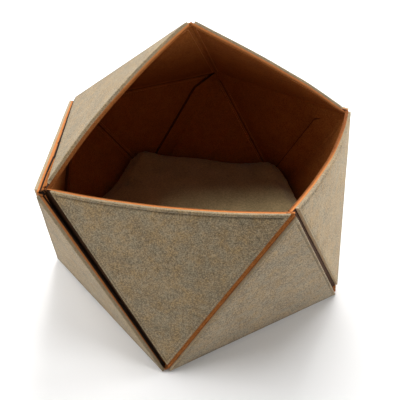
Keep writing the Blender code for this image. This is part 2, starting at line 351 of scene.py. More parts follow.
outerLook = {
    "dark": (0.118, 0.086, 0.048, 1),
    "light": (0.440, 0.328, 0.190, 1),
    "cool": (0.91, 0.98, 1.07, 1),  # grey-blue and tan wool in the mix
    "warm": (1.05, 0.98, 0.85, 1),
    "cutEdge": (0.50, 0.395, 0.25, 1),
    "cutShare": 1.0,  # how much of that shows on a cut edge
    "sheen": 0.12,
    "bump": (0.55, 0.0016),  # strength, height
}
innerLook = {
    "dark": (0.255, 0.076, 0.013, 1),
    "light": (0.520, 0.180, 0.040, 1),
    "cool": (0.96, 0.94, 0.90, 1),
    "warm": (1.04, 1.05, 1.0, 1),
    "cutEdge": (0.60, 0.215, 0.062, 1),
    "cutShare": 0.8,
    "sheen": 0.0,
    "bump": (0.55, 0.0016),
}
feltGrain = {  # noise scale, detail, roughness
    "cloud": (32, 3, 0.5),
    "mottle": (240, 4, 0.62),
    "tone": (62, 4, 0.7),
    "grain": (620, 3, 0.7),
}
fibreTurns = ((0.3, 0.5, 0.9), (1.9, 0.2, 2.4), (0.9, 2.1, 0.4))  # three ways that the wool lies
fibreNoise = {"scale": 1300, "detail": 2, "distortion": 0.4}
fibreStretch = (1, 0.16, 1)
shadeShares = {"mottle": 0.18, "grain": 0.56, "fibre": 0.26, "cloud": 0.10}
bumpShares = {"mottle": 0.5, "grain": 0.3, "fibre": 0.7}
feltSteps = {  # from where to where each one comes in
    "light": (0.41, 0.69),
    "cool": (0.48, 0.62),
    "warm": (0.36, 0.50),
    "edge": (0.35, 0.75),  # this one and the next two by the share of the thickness
    "wall": (0.4, 0.85),
    "gap": (0.50, 0.68),
}
# painted shade: the colour that darkens the inner part of a cut wall
paintedWallShade = (0.45, 0.38, 0.32, 1)
# painted shade: the black of seams, creases and tab edges that lie in shadow
paintedShadeBlack = (0.004, 0.003, 0.002, 1)


def feltMaterial(name, look):
    made, wire = startMaterial(name)
    coords = wire.node("ShaderNodeTexCoord", output=3)
    layers = {layer: wire.noise(coords, *row) for layer, row in feltGrain.items()}
    streaks = []
    for turn in fibreTurns:
        turned = wire.node(
            "ShaderNodeMapping", {}, {"Vector": coords, "Rotation": turn, "Scale": fibreStretch}
        )
        streaks.append(wire.noise(turned, **fibreNoise))
    layers["fibre"] = (streaks[0] + streaks[1] + streaks[2]) * (1 / 3)
    lightShare = blend(layers, shadeShares).smooth(*feltSteps["light"])
    colour = wire.mix(lightShare, look["dark"], look["light"])
    colour = wire.tint(layers["tone"].smooth(*feltSteps["cool"]), colour, look["cool"])
    colour = wire.tint(1 - layers["tone"].smooth(*feltSteps["warm"]), colour, look["warm"])
    cut, inside = wire.attribute("cut"), wire.attribute("inside")
    edgeShare = cut * (look["cutShare"] * (1 - inside.smooth(*feltSteps["edge"])))
    colour = wire.mix(edgeShare, colour, look["cutEdge"])
    # painted shade: the inner part of each cut wall darker, as if in shadow
    colour = wire.tint(cut * inside.smooth(*feltSteps["wall"]) * 0.75, colour, paintedWallShade)
    # painted shade: black on the inner part of a cut wall down in an open seam
    gapShare = wire.attribute("gap") * inside.smooth(*feltSteps["gap"]) * 0.95
    colour = wire.mix(gapShare, colour, paintedShadeBlack)
    # painted shade: black on faces marked as lying in shadow in seams, creases and round tabs
    colour = wire.mix(wire.attribute("deep") * 0.9, colour, paintedShadeBlack)
    roughness = 1.0 - (0.16 * layers["mottle"])
    shader = clothShader(wire, look, colour, roughness, blend(layers, bumpShares))
    return finishMaterial(made, shader)


outerFelt = feltMaterial("outerFelt", outerLook)
innerFelt = feltMaterial("innerFelt", innerLook)
print("felts mixed")


sharpEdge = 40  # degrees, from where an edge is shaded sharp


def storeObject(name, mesh, material, sharp=sharpEdge):
    data = bpy.data.meshes.new(name)
    mesh.to_mesh(data)
    mesh.free()
    data.materials.append(material)
    data.shade_smooth()
    data.set_sharp_from_angle(angle=math.radians(sharp))
    made = bpy.data.objects.new(name, data)
    scene.collection.objects.link(made)
    return made


# outer panels
panelCut = {
    "divisions": 60,  # of a panel's side
    "bands": (  # rings of points, by their distance from the cut edge
        *(0.0, 0.0003, 0.0007, 0.0013, 0.0020, 0.0028),
        *(0.0035, 0.0042, 0.0050, 0.0058, 0.0068, 0.0082),
    ),
    "rounding": 0.0006,  # of the cut edge
    "seamWidth": 0.0014,
    "seamFade": 0.001,  # over which a seam ends at a corner
    "puff": 0.0004,  # swell between a seam of depth puffPer and the edge
    "puffPer": 0.0009,
    "puffAt": 0.45,  # of the way from the edge to the seam
    "puffWidth": 0.4,
}

# kind of edge: how far the felt is set back, where its seam runs, how deep, how light the cut is
edgeColumns = ("inset", "seamAt", "seamDepth", "light")
edgeTable = {
    "rim": (form["rimInset"], 0.0042, 0.0013, 0.2),
    "owner": (form["ownerInset"], 0.0035, 0.0004, 0.9),
    "host": (form["hostInset"], 0.0035, 0.0004, 0.5),
    "fold": (form["foldInset"], 0.0035, 0.0004, 0.6),
    "skirt": (form["skirtInset"], 0.0035, 0.0003, 0.3),
    "floor": (form["floorInset"], 0.0035, 0.0003, 0.3),
}
edgeCuts = {kind: dict(zip(edgeColumns, row)) for kind, row in edgeTable.items()}


def edgeCut(panel, edge):
    return edgeCuts[edgeKind(panel, edge)]


def cornersAt(panel, sides):
    # where the planes through a panel's sides meet, on its outer face
    top = panel.level(0.0)
    return {
        corner: meet(top, *[side for edge, side in sides.items() if corner in edge])
        for corner in panel.corners
    }


def outline(panel, extra=0.0):
    sides = {edge: panel.cut(edge, cutAt(panel, edge) + extra) for edge in panel.edges()}
    return list(cornersAt(panel, sides).values())


def mapAcross(panel, vert, corners, wider):
    # moves a point of one outline to the same place on a wider one
    a, b, c = corners
    area = (b - a).cross(c - a).dot(panel.normal)
    shareB = (vert.co - a).cross(c - a).dot(panel.normal) / area
    shareC = (b - a).cross(vert.co - a).dot(panel.normal) / area
    vert.co = wider[0] * (1 - shareB - shareC) + wider[1] * shareB + wider[2] * shareC


def cutAt(panel, edge):
    return edgeCut(panel, edge)["inset"]


def sewnAt(panel, edge):
    # how far a seam runs from the panel's own edge
    return edgeCut(panel, edge)["inset"] + edgeCut(panel, edge)["seamAt"]


def awayFrom(panel, point, lineAt):
    # a point's distance from each cut edge or seam of a panel
    away = {}
    for edge in panel.edges():
        across, distance = panel.cut(edge, lineAt(panel, edge))
        away[edge] = across.dot(point) - distance
    return away


def cutLight(panel, point):
    away = awayFrom(panel, point, cutAt)
    return edgeCut(panel, min(away, key=away.get))["light"]


def feltHeight(panel, point):
    # the felt's face above its flat level: rounded cut edge, puffed band, sewn trough
    away = awayFrom(panel, point, cutAt)
    height = 0.0
    nearest = min(away.values())
    rounding = panelCut["rounding"]
    if nearest < rounding:
        height -= rounding * (1 - math.sqrt(max(0.0, 1 - (1 - nearest / rounding) ** 2)))
    for edge, distance in away.items():
        seamAt, depth = (edgeCut(panel, edge)[column] for column in ("seamAt", "seamDepth"))
        others = min(
            far - edgeCut(panel, other)["seamAt"] for other, far in away.items() if other != edge
        )
        inside = min(1.0, max(0.0, others / panelCut["seamFade"] + 1))
        trough = math.exp(-(((distance - seamAt) / panelCut["seamWidth"]) ** 2) * 2)
        height -= depth * trough * inside
        fromPuff = distance - seamAt * panelCut["puffAt"]
        puff = math.exp(-((fromPuff / (seamAt * panelCut["puffWidth"])) ** 2))
        height += panelCut["puff"] * (depth / panelCut["puffPer"]) * puff * inside
    height += noise.noise(point / feltRelief["waveSize"]) * feltRelief["wave"]
    return height


def newItems(result, kind):
    return [item for item in result["geom"] if isinstance(item, kind)]


def ringTriangle(mesh, panel):
    # an even grid, with rings of points round it out to the cut edge
    bands = panelCut["bands"]
    corners = outline(panel, bands[-1])
    mesh.faces.new([mesh.verts.new(corner) for corner in corners])
    bmesh.ops.subdivide_edges(
        mesh, edges=mesh.edges[:], cuts=panelCut["divisions"] - 1, use_grid_fill=True
    )
    for extra in reversed(bands[:-1]):
        wider = outline(panel, extra)
        border = [edge for edge in mesh.edges if edge.is_boundary]
        grown = bmesh.ops.extrude_edge_only(mesh, edges=border)
        for vert in newItems(grown, bmesh.types.BMVert):
            mapAcross(panel, vert, corners, wider)
        corners = wider


def ringFloor(mesh, panel):
    bands = panelCut["bands"]
    mesh.faces.new([mesh.verts.new(corner) for corner in outline(panel)])
    bmesh.ops.subdivide_edges(mesh, edges=mesh.edges[:], cuts=panelCut["divisions"] // 2)
    for near, far in zip(bands, bands[1:]):
        middle = max(mesh.faces, key=lambda face: face.calc_area())
        bmesh.ops.inset_region(mesh, faces=[middle], thickness=far - near, use_even_offset=True)


def makeOuterPanel(panel):
    mesh = bmesh.new()
    if len(panel.corners) == 3:
        ringTriangle(mesh, panel)
    else:
        ringFloor(mesh, panel)
    if any(hasTip(panel, corner) for corner in panel.corners):
        bmesh.ops.bisect_plane(
            mesh,
            geom=mesh.verts[:] + mesh.edges[:] + mesh.faces[:],
            dist=samePlace,
            plane_co=(0, 0, form["tipHeight"]),
            plane_no=(0, 0, -1),
            clear_outer=True,
        )
    bmesh.ops.recalc_face_normals(mesh, faces=mesh.faces)
    cut = mesh.verts.layers.float.new("cut")
    heights = {vert: feltHeight(panel, vert.co) for vert in mesh.verts}
    flat = {vert: vert.co.copy() for vert in mesh.verts}
    for vert in mesh.verts:
        vert[cut] = cutLight(panel, flat[vert]) if vert.is_boundary else 0.0
        vert.co = bowed(panel, flat[vert]) + panel.normal * heights[vert]
    under = bmesh.ops.extrude_face_region(mesh, geom=mesh.faces[:])
    moved = newItems(under, bmesh.types.BMVert)
    bmesh.ops.translate(mesh, verts=moved, vec=-panel.normal * form["outerFelt"])
    bmesh.ops.recalc_face_normals(mesh, faces=mesh.faces)
    made = storeObject(f"outer{panel.name[0].upper()}{panel.name[1:]}", mesh, outerFelt)
    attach(made, "root")
    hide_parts(panel.node)
    return made


def cutSize(points):
    # the box and the area of a flat cut, its first side along the width
    along = (points[1] - points[0]).normalized()
    normal = (points[1] - points[0]).cross(points[2] - points[1]).normalized()
    across = normal.cross(along)
    widths = [along.dot(point) for point in points]
    lengths = [across.dot(point) for point in points]
    fan = zip(points[1:], points[2:])
    area = sum((a - points[0]).cross(b - points[0]).length / 2 for a, b in fan)
    return (max(widths) - min(widths), max(lengths) - min(lengths)), area


outerPieces = {name: makeOuterPanel(panel) for name, panel in panels.items()}
for name, panel in panels.items():
    flat, area = cutSize(outline(panel))
    print("cut of", name, [round(side, 4) for side in flat], round(area, 4))
print("outer panels cut:", len(outerPieces))


# inner felt: one net for floor, panels and tabs
innerCut = {
    "relief": 0.0003,  # corners cut back where panels meet
    "tipRelief": 0.0050,
    "tabStart": 0.0003,
    "leastFold": 15,  # degrees: an edge that turns less isn't rounded
    "foldOutside": 0.0026,  # how far a fold is rounded
    "foldInside": 0.0013,
    "floorOutside": 0.0050,
    "floorInside": 0.0016,
    "roundSteps": 4,
    "closedCorner": "backRight",  # its tabs reach right into the corner
    "shoulder": (0.006, 0.0095),
    "lines": 20,  # across a panel at the mouth, all three ways
    "fewLines": 7,  # across any other panel
    "sewnDepth": 0.0008,
    "sewnWidth": 0.0012,
    "sewnLines": (-1.6, -0.7, 0.0, 0.7, 1.6),  # cuts along a seam, in widths of it
    "sewnClear": 0.003,  # no other cut this near a seam
    "seamFade": 0.002,
    "flat": (1.24, 1.02),  # the net, laid flat
    "area": 0.66,
}

# painted shade on the inner felt: how dark, from 0 to 1, and how far it reaches
innerPaint = {
    "wallShade": 0.85,
    "creaseShade": 0.62,
    "roofCreaseShade": 0.15,
    # how wide the painted shade runs along a fold's inside crease
    "creaseLine": 0.0044,
    "shadow": 0.0017,  # painted shadow line where a tab lies on its panel
    "overlap": 0.002,  # how far a joint's bare felt is painted black, as shade, under the outer panel
    "wallReach": 0.006,  # cut walls beside an open seam, painted dark as shade
    "tabReach": 0.001,
    "foldReach": -0.012,  # a tab's outer face, over its fold and on to its panel, painted black as shade
    "above": -0.0006,  # outer face of a tab, by depth
    "below": 0.0026,
}
slack = {  # how far off a point may lie and still count as in its place
    "layer": 0.0002,
    "wall": 0.0003,
    "side": 0.0005,
    "floor": 0.001,
    "tab": 0.002,
    "holdSide": 0.004,
    "holdDepth": 0.016,
}


def innerSide(panel, edge):
    ends = frozenset(edge)
    kind = edgeKind(panel, edge)
    if kind == "rim":
        return panel.cut(edge, form["rimInset"])
    if kind == "owner":
        return panels[seamOf[ends][1]].level(form["tabDepth"])
    if kind == "host":
        return panel.cut(edge, form["hostInset"])
    other = [one for one in panels.values() if one is not panel and ends <= set(one.at)][0]
    return other.level(form["innerDepth"])


def farEnd(edge, corner):
    # the other end of an edge
    return edge[1] if edge[0] == corner else edge[0]


def innerEnd(panel, corner, edge, clear):
    # where an edge of the inner felt ends, a clear distance from its corner
    level = panel.level(form["innerDepth"])
    point = meet(level, *[innerSide(panel, side) for side in panel.edges() if corner in side])
    along = (places[farEnd(edge, corner)] - places[corner]).normalized()
    return meet(level, innerSide(panel, edge), (along, along.dot(point) + clear))


def reliefAt(panel, corner):
    # how far a corner is cut back
    if hasTip(panel, corner):
        return innerCut["tipRelief"]
    hosts = any(panel.name == row[1] and corner in edge for edge, row in seamTable.items())
    return innerCut["relief"] if hosts or corner not in lowerRing else 0.0


def foldEnd(edge, corner):
    # both panels of a fold end it at the same point
    along = places[farEnd(edge, corner)] - places[corner]
    pair = [panel for panel in panels.values() if frozenset(edge) <= set(panel.at)]
    ends = [innerEnd(panel, corner, edge, reliefAt(panel, corner)) for panel in pair]
    return max(ends, key=along.dot)


def tabRoot(owner, edge):
    # the two ends of the fold between a panel and its tab
    clear = [max(innerCut["relief"], reliefAt(owner, corner)) for corner in edge]
    return [
        innerEnd(owner, corner, edge, away + innerCut["tabStart"])
        for corner, away in zip(edge, clear)
    ]


def innerOutline(panel):
    points = []

    def put(*more):
        for point in more:
            if not points or (point - points[-1]).length > samePlace:
                points.append(point)

    edges = panel.edges()
    for before, after in zip(edges[-1:] + edges[:-1], edges):
        corner = after[0]
        isFold = [edgeKind(panel, edge) in ("fold", "skirt", "floor") for edge in (before, after)]
        if isFold[0]:
            put(foldEnd(before, corner))
        put(*[innerEnd(panel, corner, edge, reliefAt(panel, corner)) for edge in (before, after)])
        if isFold[1]:
            put(foldEnd(after, corner))
        if edgeKind(panel, after) == "owner":
            seam = [edge for edge in seamTable if frozenset(edge) == frozenset(after)][0]
            roots = tabRoot(panel, seam)
            put(*(roots if seam[0] == after[0] else reversed(roots)))
    if (points[0] - points[-1]).length < samePlace:
        points.pop()
    return points


def tabOutline(edge, row):
    owner, host = panels[row[0]], panels[row[1]]
    rootFirst, rootLast = tabRoot(owner, edge)
    start, end = (host.at[corner] for corner in edge)
    along = (end - start).normalized()
    across, down = host.inward(edge), host.normal * form["tabDepth"]
    points = [rootFirst, rootLast]
    beside = across * innerCut["shoulder"][1] - down
    if edge[1] == innerCut["closedCorner"]:
        points.append(end - along * innerCut["shoulder"][0] + beside)
    inside = across * form["tabWidth"] - down
    points += [end - along * row[3] + inside, start + along * row[2] + inside]
    if edge[0] == innerCut["closedCorner"]:
        points.append(start + along * innerCut["shoulder"][0] + beside)
    return points


def addFace(mesh, points, normal):
    face = mesh.faces.new([mesh.verts.new(point) for point in points])
    face.normal_update()
    if face.normal.dot(normal) < 0:
        face.normal_flip()
    return face


def depthIn(panel, point):
    facing, distance = panel.level(0.0)
    return distance - facing.dot(point)


def throughFelt(panel, point):
    # 0 on the inner felt's outer face, 1 on its inner face
    return (depthIn(panel, point) - form["innerDepth"]) / form["innerFelt"]


def slabOf(mesh, panel):
    # the faces of one panel's thickness of inner felt
    top = form["innerDepth"] - slack["layer"]
    bottom = form["innerBottom"] + slack["layer"]
    sides = [panel.cut(edge, -slack["side"]) for edge in panel.edges()]
    found = []
    for face in mesh.faces:
        middle = face.calc_center_median()
        if any(across.dot(middle) < distance for across, distance in sides):
            continue
        if all(top < depthIn(panel, vert.co) < bottom for vert in face.verts):
            found.append(face)
    return found


def holds(panel, point):
    # whether a point lies behind a panel, near enough to move with it
    if not 0 < depthIn(panel, point) < slack["holdDepth"]:
        return False
    return all(
        panel.inward(edge).dot(point - panel.at[edge[0]]) > -slack["holdSide"]
        for edge in panel.edges()
    )


def cutLine(mesh, faces, place, across):
    # cuts faces along a plane and gives all of them back, the new ones too
    geometry = set(faces)
    geometry |= {edge for face in faces for edge in face.edges}
    geometry |= {vert for face in faces for vert in face.verts}
    cut = bmesh.ops.bisect_plane(
        mesh, geom=list(geometry), dist=weld, plane_co=place, plane_no=across
    )
    return newItems(cut, bmesh.types.BMFace)


def bakedMesh(made):
    # applies the object's modifiers
    evaluated = made.evaluated_get(bpy.context.evaluated_depsgraph_get())
    data = bpy.data.meshes.new_from_object(evaluated)
    made.modifiers.clear()
    made.data = data
    return data


def sewnTrough(panel, point):
    # how deep the sewn line presses the felt at a point of a panel
    away = awayFrom(panel, point, sewnAt)
    depth = 0.0
    for edge, distance in away.items():
        others = min(value for key, value in away.items() if key != edge)
        inside = min(1.0, max(0.0, others / innerCut["seamFade"] + 1))
        depth = max(depth, inside * math.exp(-((distance / innerCut["sewnWidth"]) ** 2)))
    return depth * innerCut["sewnDepth"]


def foldedNet():
    # the net as flat faces with their thickness, its cut walls marked by the second material
    mesh = bmesh.new()
    for panel in panels.values():
        addFace(mesh, innerOutline(panel), panel.normal)
    for edge, row in seamTable.items():
        addFace(mesh, tabOutline(edge, row), panels[row[1]].normal)
    bmesh.ops.remove_doubles(mesh, verts=mesh.verts, dist=weld)
    made = storeObject("innerFelt", mesh, innerFelt)
    made.data.materials.append(innerFelt)
    shell = made.modifiers.new("thickness", "SOLIDIFY")
    shell.thickness = form["innerFelt"]
    shell.offset = -1
    shell.use_even_offset = True
    shell.use_quality_normals = True
    shell.material_offset_rim = 1
    bakedMesh(made)
    return made


def roundFolds(mesh):
    # rounds the folds: sharper inside than outside, and widest round the floor
    floorHeight = form["innerBottom"] + slack["floor"]
    groups = {}
    for edge in mesh.edges:
        if any(face.material_index for face in edge.link_faces):
            continue
        angle = math.degrees(edge.calc_face_angle(0.0))
        if angle < innerCut["leastFold"]:
            continue
        onFloor = all(vert.co.z < floorHeight for vert in edge.verts)
        outside = edge.calc_face_angle_signed(0.0) > 0
        groups.setdefault((onFloor, outside), []).append(edge)
    for (onFloor, outside), edges in groups.items():
        name = ("floor" if onFloor else "fold") + ("Outside" if outside else "Inside")
        bmesh.ops.bevel(
            mesh,
            geom=[edge for edge in edges if edge.is_valid],
            offset=innerCut[name],
            offset_type="OFFSET",
            segments=innerCut["roundSteps"],
            profile=0.5,
            affect="EDGES",
            material=-1,
            clamp_overlap=True,
        )


def linesOn(panel, edge):
    # where a panel is cut into strips beside an edge, as distances from it
    start = panel.at[edge[0]]
    across = panel.inward(edge)
    depth = max(across.dot(corner - start) for corner in panel.at.values())
    bows = any(row[0] == panel.name for row in rimTable.values())
    lines = innerCut["lines"] if bows else innerCut["fewLines"]
    even = [depth * step / lines for step in range(1, lines)]
    seam = sewnAt(panel, edge)
    sewn = [seam + innerCut["sewnWidth"] * side for side in innerCut["sewnLines"]]
    # a cut for the painted shade along a fold's inside crease
    crease = [innerPaint["creaseLine"]] if edgeKind(panel, edge) == "fold" else []
    return crease + sewn + [step for step in even if abs(step - seam) > innerCut["sewnClear"]]


def tabSides(edge, row):
    # the free sides of a tab, as planes that face away from it
    host = panels[row[1]]
    points = tabOutline(edge, row)
    middle = sum(points, Vector()) / len(points)
    sides = []
    for a, b in zip(points[1:], points[2:] + points[:1]):
        out = host.normal.cross(b - a).normalized()
        if out.dot(middle - a) > 0:
            out = -out
        sides.append((a, out))
    return sides


def shadowTabs(mesh, panel, faces):
    # cuts a narrow band of the panel round each tab that lies on it, and paints the tab's shadow on
    # the band
    deep = mesh.faces.layers.float["deep"]
    for edge, row in seamTable.items():
        if row[1] != panel.name:
            continue
        sides = tabSides(edge, row)
        for place, out in sides:
            for step in (0.0, innerPaint["shadow"]):
                faces = cutLine(mesh, faces, place + out * step, out)
        for face in faces:
            middle = face.calc_center_median()
            beyond = max(out.dot(middle - place) for place, out in sides)
            onFace = abs(depthIn(panel, middle) - form["innerBottom"]) < slack["wall"]
            if onFace and 0 < beyond < innerPaint["shadow"]:
                face[deep] = innerPaint["wallShade"]
    return faces


def paintGapAndCreaseShade(mesh, panel, faces):
    # painted shade: black where the inner felt lies bare in an open seam, and dark along a fold's
    # inside crease
    deep = mesh.faces.layers.float["deep"]
    for edge in panel.edges():
        kind = edgeKind(panel, edge)
        if kind == "owner":
            across, distance = panel.cut(edge, form["ownerInset"] + innerPaint["overlap"])
            level, shade = form["innerDepth"], 1.0
        elif kind == "fold":
            across, distance = panel.cut(edge, innerPaint["creaseLine"])
            level = form["innerBottom"]
            shade = innerPaint["roofCreaseShade" if "peak" in edge else "creaseShade"]
        else:
            continue
        for face in faces:
            middle = face.calc_center_median()
            onFace = abs(depthIn(panel, middle) - level) < slack["side"]
            if onFace and across.dot(middle) < distance:
                face[deep] = max(face[deep], shade)


def paintSeamShade(mesh, edge, row):
    # painted shade: black down in one joint, and dark on the walls round its tab
    deep, gap = (mesh.faces.layers.float[layer] for layer in ("deep", "gap"))
    inside = mesh.verts.layers.float["inside"]
    host, under = panels[row[1]], form["tabDepth"]
    start, end = (host.at[corner] for corner in edge)
    along, across = (end - start).normalized(), host.inward(edge)
    # cut walls that show in the open seam get painted shade
    showsWall = row[0].startswith("roof") or edge[0] == "left"
    reach = innerPaint["tabReach" if row[0] == "rightFront" else "foldReach"]
    for face in mesh.faces:
        middle = face.calc_center_median()
        depth = depthIn(host, middle)
        beside = across.dot(middle - start)
        inLine = 0 < along.dot(middle - start) < form["edge"]
        if not inLine or beside > form["tabWidth"] + slack["tab"]:
            continue
        if face.material_index:
            if showsWall and beside < innerPaint["wallReach"] and depth < under:
                face[gap] = 1.0
                for vert in face.verts:
                    vert[inside] = min(1.0, max(0.0, throughFelt(host, vert.co)))
            inTab = under - slack["wall"] < depth < under + form["innerFelt"] + slack["wall"]
            if inTab and innerPaint["tabReach"] < beside:
                face[deep] = innerPaint["wallShade"]
        elif innerPaint["above"] < depth - under < innerPaint["below"]:
            if beside > reach and face.normal.dot(host.normal) > 0.5:
                face[deep] = 1.0


def cutStrips(mesh, panel):
    # cuts a panel of the inner felt into strips that can bend, and paints its shade
    faces = slabOf(mesh, panel)
    for edge in panel.edges():
        across = panel.inward(edge)
        for step in linesOn(panel, edge):
            faces = cutLine(mesh, faces, panel.at[edge[0]] + across * step, across)
    faces = shadowTabs(mesh, panel, faces)
    paintGapAndCreaseShade(mesh, panel, faces)
    return {vert for face in faces for vert in face.verts}


def bendFelt(mesh):
    # moves each point of the inner felt along with the panels that it lies behind
    moves = {}
    inside = mesh.verts.layers.float["inside"]
    innerLevel = form["innerDepth"] + form["innerFelt"] / 2
    for panel in panels.values():
        for vert in cutStrips(mesh, panel):
            wave = noise.noise(vert.co / feltRelief["waveSize"]) * feltRelief["wave"]
            vert[inside] = max(vert[inside], min(1.0, throughFelt(panel, vert.co)))
            if depthIn(panel, vert.co) > innerLevel:
                wave += sewnTrough(panel, vert.co)
            moves.setdefault(vert, []).append(bowed(panel, vert.co) + panel.normal * wave)
    for vert in mesh.verts:
        if vert not in moves:
            near = [panel for panel in panels.values() if holds(panel, vert.co)]
            moves[vert] = [bowed(panel, vert.co) for panel in near]
    for vert, found in moves.items():
        if found:
            vert.co = sum(found, Vector()) / len(found)


def makeInnerFelt():
    made = foldedNet()
    mesh = bmesh.new()
    mesh.from_mesh(made.data)
    mesh.verts.layers.float.new("inside")
    # face layers that hold the painted shade
    for layer in ("deep", "gap"):
        mesh.faces.layers.float.new(layer)
    roundFolds(mesh)
    for face in mesh.faces:
        face.normal_update()
    for edge, row in seamTable.items():
        paintSeamShade(mesh, edge, row)
    bendFelt(mesh)
    bmesh.ops.triangulate(mesh, faces=mesh.faces, ngon_method="BEAUTY")
    for reach in (samePlace, weld):  # slivers left where cuts cross
        bmesh.ops.dissolve_degenerate(mesh, dist=reach, edges=mesh.edges)
    bmesh.ops.triangulate(mesh, faces=mesh.faces, ngon_method="BEAUTY")
    cut = mesh.faces.layers.float.new("cut")
    for face in mesh.faces:
        face[cut] = float(face.material_index)
        face.material_index = 0
    mesh.to_mesh(made.data)
    mesh.free()
    made.data.materials.pop()
    made.data.shade_smooth()
    made.data.set_sharp_from_angle(angle=math.radians(sharpEdge))
    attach(made, "root")
    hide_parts("inner_felt")
    return made


innerPiece = makeInnerFelt()
print("inner felt folded:", len(innerPiece.data.polygons), "faces")


# thread
stitch = {
    "length": 0.0030,
    "pitch": 0.0040,
    "thick": 0.00045,
    "proud": 0.0001,  # how far it stands on the felt
    "sides": 6,
    "rings": 4,
    "strands": 2600,  # noise scale of the twisted yarn
    "light": 1.7,  # the light strands, times the colour
}
threadLook = {
    "rim": (0.085, 0.064, 0.038, 1),
    "outer": (0.165, 0.125, 0.075, 1),
    "inner": (0.60, 0.26, 0.09, 1),
}


def threadMaterial(name, colour):
    made, wire = startMaterial(name)
    coords = wire.node("ShaderNodeTexCoord", output=3)
    twist = wire.noise(coords, stitch["strands"], 1)
    light = tuple(stitch["light"] * value for value in colour[:3]) + (1,)
    shader = wire.node(
        "ShaderNodeBsdfPrincipled",
        {},
        {"Base Color": wire.mix(twist.smooth(0.35, 0.65), colour, light), "Roughness": 0.6},
    )
    return finishMaterial(made, shader)


def sewnCorners(panel):
    return cornersAt(panel, {edge: panel.cut(edge, sewnAt(panel, edge)) for edge in panel.edges()})


def onOuterFace(panel, point):
    return bowed(panel, point) + panel.normal * (feltHeight(panel, point) + stitch["proud"])


def onInnerFace(panel, point):
    below = point - panel.normal * form["innerBottom"]
    return bowed(panel, below) + panel.normal * (sewnTrough(panel, below) - stitch["proud"])


def oneStitch():
    # a round of radius 1, which sew stretches
    mesh = bmesh.new()
    bmesh.ops.create_uvsphere(
        mesh, u_segments=stitch["sides"], v_segments=stitch["rings"], radius=1
    )
    shape = bpy.data.meshes.new("oneStitch")
    mesh.to_mesh(shape)
    mesh.free()
    return shape


def sew(mesh, shape, panel, edge, onFace, corners):
    # a row of stitches along one edge
    first, last = (corners[corner] for corner in edge)
    span = (last - first).length
    count = int(span / stitch["pitch"])
    for index in range(count):
        middle = (index + 0.5) / count
        half = stitch["length"] / span / 2
        start, end = (onFace(panel, first.lerp(last, middle + side * half)) for side in (-1, 1))
        along = (end - start).normalized()
        across = panel.normal.cross(along).normalized()
        up = along.cross(across)
        turn = Matrix((along, across, up)).transposed().to_4x4()
        stretch = Matrix.Diagonal((stitch["length"] / 2, stitch["thick"], stitch["thick"], 1))
        copy = shape.copy()
        copy.transform(Matrix.Translation((start + end) / 2) @ turn @ stretch)
        mesh.from_mesh(copy)
        bpy.data.meshes.remove(copy)


def makeStitching(name, onFace, kinds, slot, colour):
    mesh = bmesh.new()
    shape = oneStitch()
    for panel in panels.values():
        corners = sewnCorners(panel)
        for edge in panel.edges():
            if edgeKind(panel, edge) in kinds:
                sew(mesh, shape, panel, edge, onFace, corners)
    made = storeObject(name, mesh, threadMaterial(name, colour), 180)
    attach(made, "root")
    return made


# stitches: the face they are on, the kinds of edge they run along, their slot
stitchTable = {
    "rim": (onOuterFace, ("rim",), "outer_felt"),
    "outer": (onOuterFace, ("owner", "host", "fold", "skirt", "floor"), "outer_felt"),
    "inner": (onInnerFace, ("rim", "fold", "skirt"), "inner_felt"),
}
for name, row in stitchTable.items():
    makeStitching(f"{name}Stitches", *row, threadLook[name])
print("seams sewn")


# cushion
cushion = {
    "front": 0.055,  # height of its edge there
    "back": 0.068,
    "crown": 0.004,
    "clear": 0.0025,  # from the felt round it
    "waist": 0.006,
    "points": 72,  # round it
    "sharpness": 21.0,  # of its corners
    "leastFacing": 0.05,  # a wall that faces a direction less doesn't bound it
    "curls": ((98, 0.035, 17), (17, 0.024, 14), (162, 0.006, 20)),  # degrees, rise, width
    # up the side: share of the height, share of the waist
    "side": ((0.0, 1.0), (0.16, 0.35), (0.45, 0.0), (0.75, 0.1), (0.93, 0.35), (1.0, 0.9)),
    "top": (0.9, 0.75, 0.55, 0.3, 0.12),  # rings, as shares of the outline
    "voxel": 0.005,
    "pressure": 4.0,
    "cap": 0.008,  # the furthest that a point moves
    "frames": 20,
    "rest": 0.0006,  # from the felt, where it presses on it
}
cushionLook = {
    "dark": (0.295, 0.232, 0.110, 1),
    "light": (0.690, 0.545, 0.275, 1),
    "lightStep": (0.30, 0.78),
    "rows": 620,  # knitted rows in a metre
    "slant": 0.8,  # of the rows down the cushion's sides
    "lean": 0.3,
    "drift": 2.4,  # how unevenly the rows run
    "sheen": 0.3,
    "bump": (0.6, 0.0014),
}
knitGrain = {  # noise scale, detail, roughness
    "warp": (60, 2),
    "mottle": (330, 4, 0.65),
    "cloud": (26, 2),
}
knitShares = {"knit": 0.22, "mottle": 0.62, "cloud": 0.22}
knitBumps = {"knit": 0.6, "mottle": 0.5}


def cushionMaterial():
    made, wire = startMaterial("cushionKnit")
    coords = wire.node("ShaderNodeTexCoord", output=3)
    x, y, z = (
        wire.node("ShaderNodeSeparateXYZ", {}, {"Vector": coords}, output=axis) for axis in range(3)
    )
    layers = {layer: wire.noise(coords, *row) for layer, row in knitGrain.items()}
    rows = cushionLook["rows"] * math.tau
    down, over = rows * cushionLook["slant"], rows * cushionLook["lean"]
    drift = layers["warp"] * cushionLook["drift"]
    across = (x * rows + z * down + drift).sine()
    along = (y * down + z * over + drift).sine()
    layers["knit"] = (across * along) * 0.5 + 0.5
    lightShare = blend(layers, knitShares).smooth(*cushionLook["lightStep"])
    colour = wire.mix(lightShare, cushionLook["dark"], cushionLook["light"])
    roughness = 1.0 - (0.12 * layers["mottle"])
    shader = clothShader(wire, cushionLook, colour, roughness, blend(layers, knitBumps))
    return finishMaterial(made, shader)


